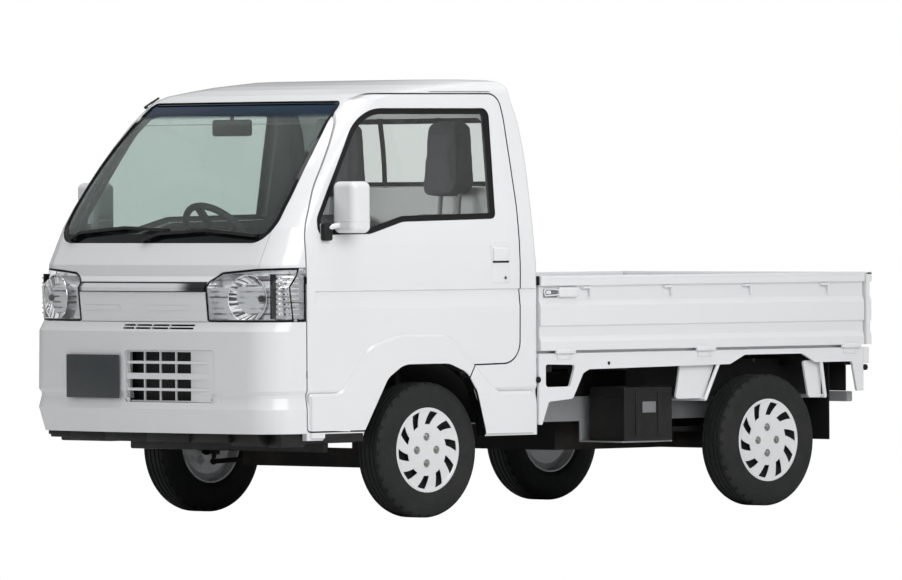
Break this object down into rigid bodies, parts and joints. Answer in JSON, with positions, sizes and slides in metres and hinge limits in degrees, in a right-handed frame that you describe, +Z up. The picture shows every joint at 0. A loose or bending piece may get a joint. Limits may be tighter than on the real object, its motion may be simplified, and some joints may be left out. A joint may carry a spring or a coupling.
{
  "type": "kei truck",
  "caption": "Small cab-over truck with a two-seat cab and an open drop-side bed; doors, gates, steering and wheels move.",
  "frame": {"origin": "on the ground below the middle of the overall box", "axes": "nose towards -Y, the truck's left side +X, +Z up"},
  "size_m": [1.669, 3.3953, 1.7449],
  "materials": {
    "paint": "gloss white paint",
    "bumper_white": "white painted plastic",
    "glass_clear": "clear glass",
    "lamp_clear": "clear lens",
    "lamp_bowl": "bright reflector",
    "bright_bar": "bright plated bar",
    "tyre_rubber": "black tread rubber",
    "wheel_cover": "white wheel cover over a steel rim",
    "black_plastic": "black moulded plastic",
    "trim_grey": "dark grey interior plastic",
    "seat_fabric": "dark grey seat cloth",
    "frame_paint": "grey painted steel",
    "dark_steel": "dark underbody steel",
    "lamp_red": "red tail lamp lens",
    "plate_grey": "dark grey blank plate",
    "rubber_black": "black rubber"
  },
  "bodies": {
    "truck_body": {"back_panel": "paint", "battery_box": "black_plastic", "bed_bearers": "frame_paint", "bumper_grille": "bumper_white", "cab_floor": "trim_grey", "crossmembers": "frame_paint", "dashboard": "trim_grey", "door_hinges": "dark_steel", "engine_block": "dark_steel", "frame_rails": "frame_paint", "front_bumper": "bumper_white", "front_corners": "paint", "front_garnish": "paint", "front_panel": "paint", "front_suspension": "dark_steel", "fuel_tank": "dark_steel", "garnish_bar": "bright_bar", "gate_hinges": "paint", "headboard": "paint", "headlamp_housings": "lamp_bowl", "headlamp_lenses": "lamp_clear", "inner_mirror": "black_plastic", "leaf_springs": "dark_steel", "load_floor": "paint", "mud_flaps": "rubber_black", "muffler": "dark_steel", "number_plates": "plate_grey", "rear_axle": "dark_steel", "rear_sill": "paint", "rear_window": "glass_clear", "roof_panel": "paint", "seat_backs": "seat_fabric", "seat_cushions": "seat_fabric", "side_frames": "paint", "side_sills": "paint", "steering_column": "trim_grey", "tail_lamps": "lamp_red", "window_guards": "black_plastic", "windscreen": "glass_clear", "wipers": "black_plastic"},
    "steering_wheel": {"steering_wheel": "trim_grey"},
    "front_knuckle_left": {"knuckle_left": "dark_steel"},
    "front_knuckle_right": {"knuckle_right": "dark_steel"},
    "front_wheel_left": {"front_tyre_left": "tyre_rubber", "front_wheel_left": "wheel_cover"},
    "front_wheel_right": {"front_tyre_right": "tyre_rubber", "front_wheel_right": "wheel_cover"},
    "rear_wheel_left": {"rear_tyre_left": "tyre_rubber", "rear_wheel_left": "wheel_cover"},
    "rear_wheel_right": {"rear_tyre_right": "tyre_rubber", "rear_wheel_right": "wheel_cover"},
    "door_left": {"door_left": "paint", "door_glass_left": "glass_clear", "door_mirror_left": "bumper_white"},
    "door_right": {"door_right": "paint", "door_glass_right": "glass_clear", "door_mirror_right": "bumper_white"},
    "side_gate_left": {"side_gate_left": "paint"},
    "side_gate_right": {"side_gate_right": "paint"},
    "tail_gate": {"tail_gate": "paint"}
  },
  "joints": [
    {"name": "steer_left", "type": "hinge", "parent": "truck_body", "child": "front_knuckle_left", "pos_m": [0.575, -0.7805, 0.205], "axis": [-0.1489, 0, 0.9889], "range_deg": [-36, 36]},
    {"name": "steer_right", "type": "hinge", "parent": "truck_body", "child": "front_knuckle_right", "pos_m": [-0.575, -0.7805, 0.205], "axis": [0.1489, 0, 0.9889], "range_deg": [-36, 36]},
    {"name": "steering_wheel_turn", "type": "hinge", "parent": "truck_body", "child": "steering_wheel", "pos_m": [-0.305, -0.9705, 1.112], "axis": [0, 0.766, 0.6428], "range_deg": [-580, 580]},
    {"name": "front_wheel_spin_left", "type": "hinge", "parent": "front_knuckle_left", "child": "front_wheel_left", "pos_m": [0.645, -0.7805, 0.27], "axis": [1, 0, 0], "continuous": true},
    {"name": "rear_wheel_spin_left", "type": "hinge", "parent": "truck_body", "child": "rear_wheel_left", "pos_m": [0.645, 1.1195, 0.27], "axis": [1, 0, 0], "continuous": true},
    {"name": "door_hinge_left", "type": "hinge", "parent": "truck_body", "child": "door_left", "pos_m": [0.7195, -1.3975, 0.7], "axis": [0, 0, -1], "range_deg": [0, 65]},
    {"name": "side_gate_hinge_left", "type": "hinge", "parent": "truck_body", "child": "side_gate_left", "pos_m": [0.7335, 0.75, 0.647], "axis": [0, 1, 0], "range_deg": [0, 175]},
    {"name": "front_wheel_spin_right", "type": "hinge", "parent": "front_knuckle_right", "child": "front_wheel_right", "pos_m": [-0.645, -0.7805, 0.27], "axis": [1, 0, 0], "continuous": true},
    {"name": "rear_wheel_spin_right", "type": "hinge", "parent": "truck_body", "child": "rear_wheel_right", "pos_m": [-0.645, 1.1195, 0.27], "axis": [1, 0, 0], "continuous": true},
    {"name": "door_hinge_right", "type": "hinge", "parent": "truck_body", "child": "door_right", "pos_m": [-0.7195, -1.3975, 0.7], "axis": [0, 0, 1], "range_deg": [0, 65]},
    {"name": "side_gate_hinge_right", "type": "hinge", "parent": "truck_body", "child": "side_gate_right", "pos_m": [-0.7335, 0.75, 0.647], "axis": [0, -1, 0], "range_deg": [0, 175]},
    {"name": "tail_gate_hinge", "type": "hinge", "parent": "truck_body", "child": "tail_gate", "pos_m": [0, 1.6935, 0.647], "axis": [-1, 0, 0], "range_deg": [0, 175]}
  ],
  "couplings": [
    {"joint": "steer_right", "follows": "steer_left", "ratio": 1},
    {"joint": "steering_wheel_turn", "follows": "steer_left", "ratio": 16}
  ]
}
